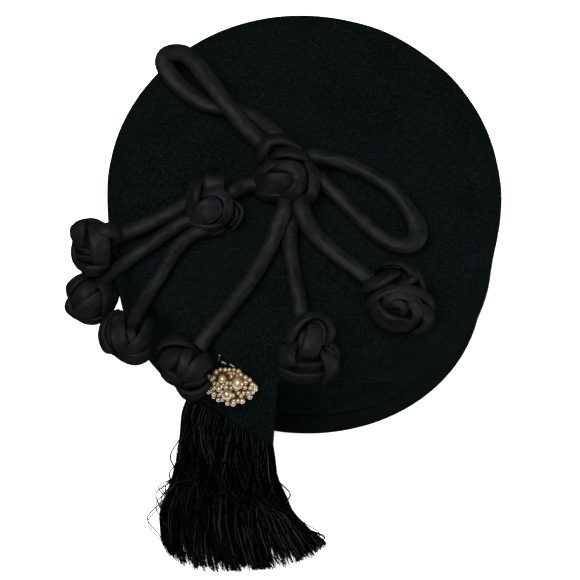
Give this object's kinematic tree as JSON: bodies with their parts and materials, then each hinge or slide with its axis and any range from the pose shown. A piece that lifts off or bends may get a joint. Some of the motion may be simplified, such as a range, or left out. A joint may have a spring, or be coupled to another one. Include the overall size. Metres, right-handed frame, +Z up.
{
  "type": "cocktail hat",
  "caption": "Round felt cocktail hat with a slit visor and a pointed tab, dressed with knotted satin cords, woven buttons, a fringe and a pearl brooch.",
  "frame": {"origin": "centre of the oval head opening, at the level of the base rim that the hat rests on", "axes": "+Z up through the crown, -Y towards the front with the visor, tab and fringe, +X to the viewer's right from the front"},
  "size_m": [0.219, 0.2659, 0.1411],
  "materials": {
    "felt": "matt black wool felt with a short nap",
    "satin": "charcoal satin with a soft sheen",
    "silk": "black twisted rayon threads",
    "pearl": "champagne imitation pearl",
    "gilt": "gilt metal"
  },
  "bodies": {
    "root": {"crown": "felt", "base_band": "felt", "loop_upper": "satin", "loop_right": "satin", "link_cord": "satin", "tail_one": "satin", "tail_two": "satin", "tail_three": "satin", "tail_four": "satin", "tail_five": "satin", "tail_six": "satin", "main_knot": "satin", "left_knot": "satin", "rosette_one": "satin", "rosette_two": "satin", "rosette_three": "satin", "rosette_four": "satin", "rosette_five": "satin", "rosette_six": "satin", "fringe": "silk", "brooch_pin": "gilt", "brooch_plate": "gilt", "pearl_cluster": "pearl", "large_pearl_one": "pearl", "large_pearl_two": "pearl", "large_pearl_three": "pearl"}
  },
  "joints": []
}
